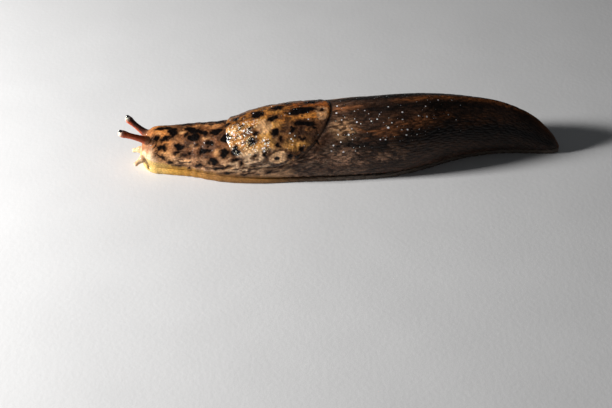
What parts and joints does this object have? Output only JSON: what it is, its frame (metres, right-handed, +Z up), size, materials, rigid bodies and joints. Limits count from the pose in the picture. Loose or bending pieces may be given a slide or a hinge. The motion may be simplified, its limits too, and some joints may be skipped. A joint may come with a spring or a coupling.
{
  "type": "leopard slug",
  "caption": "Leopard slug at life size, crawling with its horns out, with a spotted mantle behind the neck and a dark, keeled tail.",
  "frame": {"origin": "on the flat sole, half way along the body, at floor level", "axes": "-X towards the head, -Y towards the slug's left side, +Z up from the floor"},
  "size_m": [0.1074, 0.0221, 0.0172],
  "materials": {
    "head_skin": "wet tan skin with black spots",
    "mantle_skin": "wet golden brown skin with black blotches and fine ridges",
    "trunk_skin": "wet grey-brown mottled skin with long tubercles",
    "tail_skin": "wet dark brown skin with long tubercles",
    "sole_skin": "wet yellow to grey-brown fringe and pale sole",
    "tentacle_skin": "wet translucent rust-brown skin",
    "eye": "gloss black"
  },
  "bodies": {
    "root": {"head": "head_skin", "neck": "head_skin", "mantle": "mantle_skin", "trunk_front": "trunk_skin", "trunk_mid": "trunk_skin", "trunk_rear": "tail_skin", "tail": "tail_skin", "foot_front": "sole_skin", "foot_mid": "sole_skin", "foot_rear": "sole_skin", "lips": "sole_skin", "upper_tentacle_left": "tentacle_skin", "upper_tentacle_right": "tentacle_skin", "eye_left": "eye", "eye_right": "eye", "lower_tentacle_left": "sole_skin", "lower_tentacle_right": "sole_skin"}
  },
  "joints": []
}
